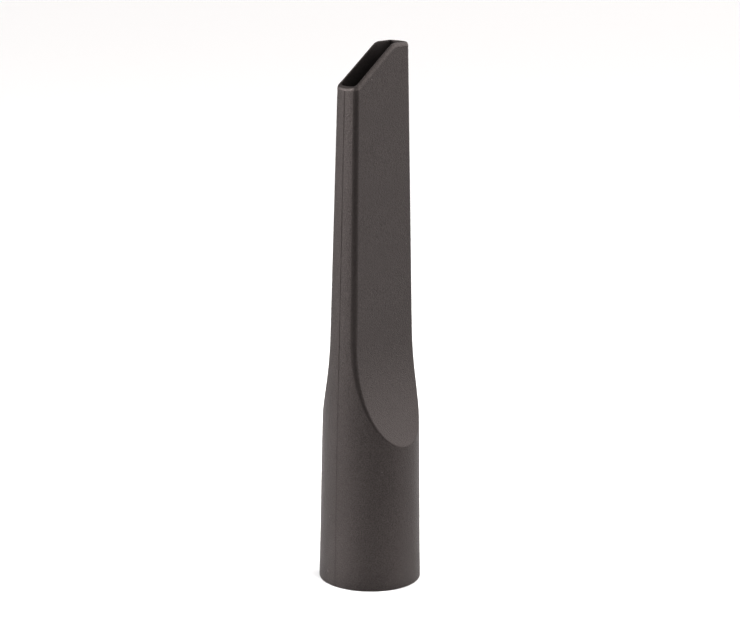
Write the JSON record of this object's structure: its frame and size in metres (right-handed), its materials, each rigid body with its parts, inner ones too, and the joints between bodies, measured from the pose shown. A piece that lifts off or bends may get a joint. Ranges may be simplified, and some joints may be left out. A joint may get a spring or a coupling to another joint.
{
  "type": "vacuum crevice nozzle",
  "caption": "Vacuum-cleaner crevice nozzle: round push-on socket that scoops into a flat hollow blade with a slanted mouth, moulded in dark grey plastic.",
  "frame": {"origin": "centre of the socket rim, on the plane that the nozzle stands on", "axes": "+Z along the duct from the socket to the mouth; +X towards the long edge of the blade; Y across the blade's thickness"},
  "size_m": [0.04, 0.04, 0.212],
  "materials": {
    "grey_plastic": "fine spark-eroded mould texture, satin-matt"
  },
  "bodies": {
    "root": {"nozzle_body": "grey_plastic"}
  },
  "joints": []
}
